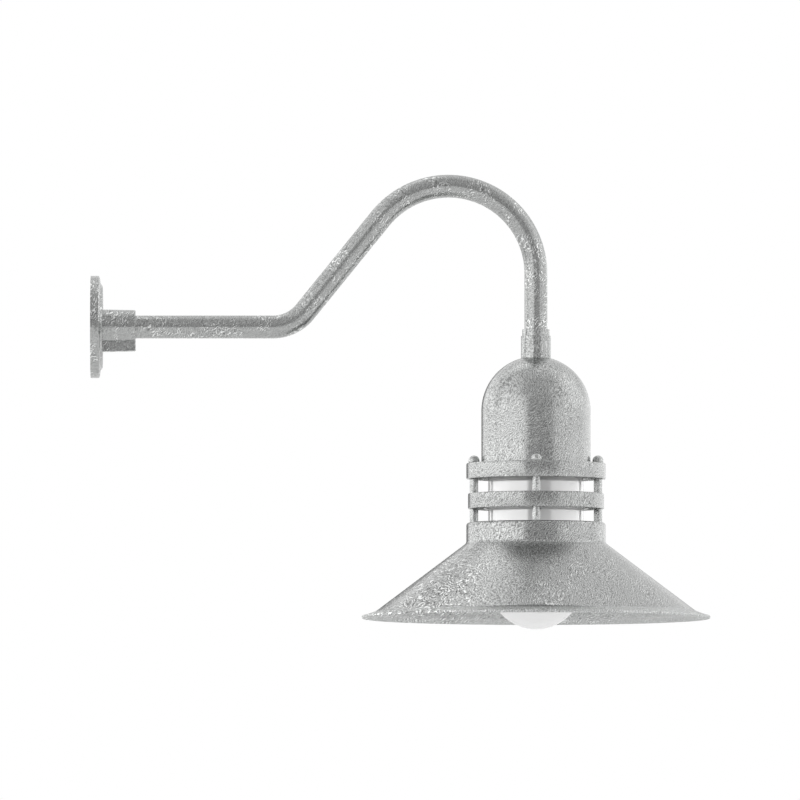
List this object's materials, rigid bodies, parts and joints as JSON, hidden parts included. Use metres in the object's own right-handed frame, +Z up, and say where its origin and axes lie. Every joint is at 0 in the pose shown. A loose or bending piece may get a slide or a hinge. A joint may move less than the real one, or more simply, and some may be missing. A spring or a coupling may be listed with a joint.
{
  "type": "gooseneck wall sconce",
  "caption": "Barn-style wall sconce: bent pipe arm from a round wall plate to a domed head with a ringed cage, a wide cone shade and a white glass jar.",
  "frame": {"origin": "centre of the wall plate's back face, on the axis of the hub", "axes": "+X points out of the wall along the arm's level run, +Z is up, +Y is to the left for someone who faces the wall"},
  "size_m": [0.7222, 0.4064, 0.5303],
  "materials": {
    "galvanised": "satin",
    "zinc_steel": "satin",
    "ground_green": "satin",
    "gasket_rubber": "matte",
    "bushing_nylon": "matte",
    "lead_black": "satin",
    "lead_white": "satin",
    "lead_green": "satin",
    "porcelain": "gloss",
    "contact_brass": "satin",
    "opal_glass": "gloss",
    "bulb_cap": "satin",
    "bulb_insulator": "gloss",
    "bulb_envelope": "satin"
  },
  "bodies": {
    "wall_mount": {"wall_plate": "galvanised", "wall_gasket": "gasket_rubber", "hub_set_screws": "zinc_steel", "ground_screw": "ground_green"},
    "arm": {"gooseneck_arm": "galvanised", "arm_bushing": "bushing_nylon", "line_lead": "lead_black", "neutral_lead": "lead_white", "ground_lead": "lead_green"},
    "head": {"collar": "galvanised", "collar_set_screw": "zinc_steel", "nipple": "zinc_steel", "nipple_washer": "zinc_steel", "nipple_locknut": "zinc_steel", "housing": "galvanised", "glass_holder": "galvanised", "tie_rods": "zinc_steel", "ball_nuts": "galvanised", "upper_spacers": "galvanised", "middle_ring": "galvanised", "lower_spacers": "galvanised", "shade": "galvanised", "lower_washers": "zinc_steel", "lower_nuts": "zinc_steel", "socket_bracket": "zinc_steel", "socket_body": "porcelain", "socket_shell": "contact_brass", "socket_contact": "contact_brass", "socket_screws": "zinc_steel"},
    "jar_seal": {"glass_gasket": "gasket_rubber"},
    "jar": {"glass_jar": "opal_glass"},
    "bulb": {"bulb_base": "bulb_cap", "bulb_insulator": "bulb_insulator", "bulb_tip": "contact_brass", "bulb_glass": "bulb_envelope"}
  },
  "joints": [
    {"name": "arm_level", "type": "hinge", "parent": "wall_mount", "child": "arm", "pos_m": [0.03, 0, 0], "axis": [1, 0, 0], "range_deg": [-15, 15]},
    {"name": "head_turn", "type": "hinge", "parent": "arm", "child": "head", "pos_m": [0.519, 0, -0.011], "axis": [0, 0, 1], "range_deg": [-180, 180]},
    {"name": "jar_drop", "type": "slide", "parent": "head", "child": "jar_seal", "axis": [0, 0, -1], "range_m": [0, 0.00953]},
    {"name": "jar_turn", "type": "hinge", "parent": "jar_seal", "child": "jar", "pos_m": [0.519, 0, -0.16], "axis": [0, 0, -1], "range_deg": [0, 540]},
    {"name": "bulb_out", "type": "slide", "parent": "head", "child": "bulb", "axis": [0, 0, -1], "range_m": [0, 0.018]}
  ],
  "couplings": [
    {"joint": "jar_drop", "follows": "jar_turn", "m_per_rad": 0.0010106}
  ]
}
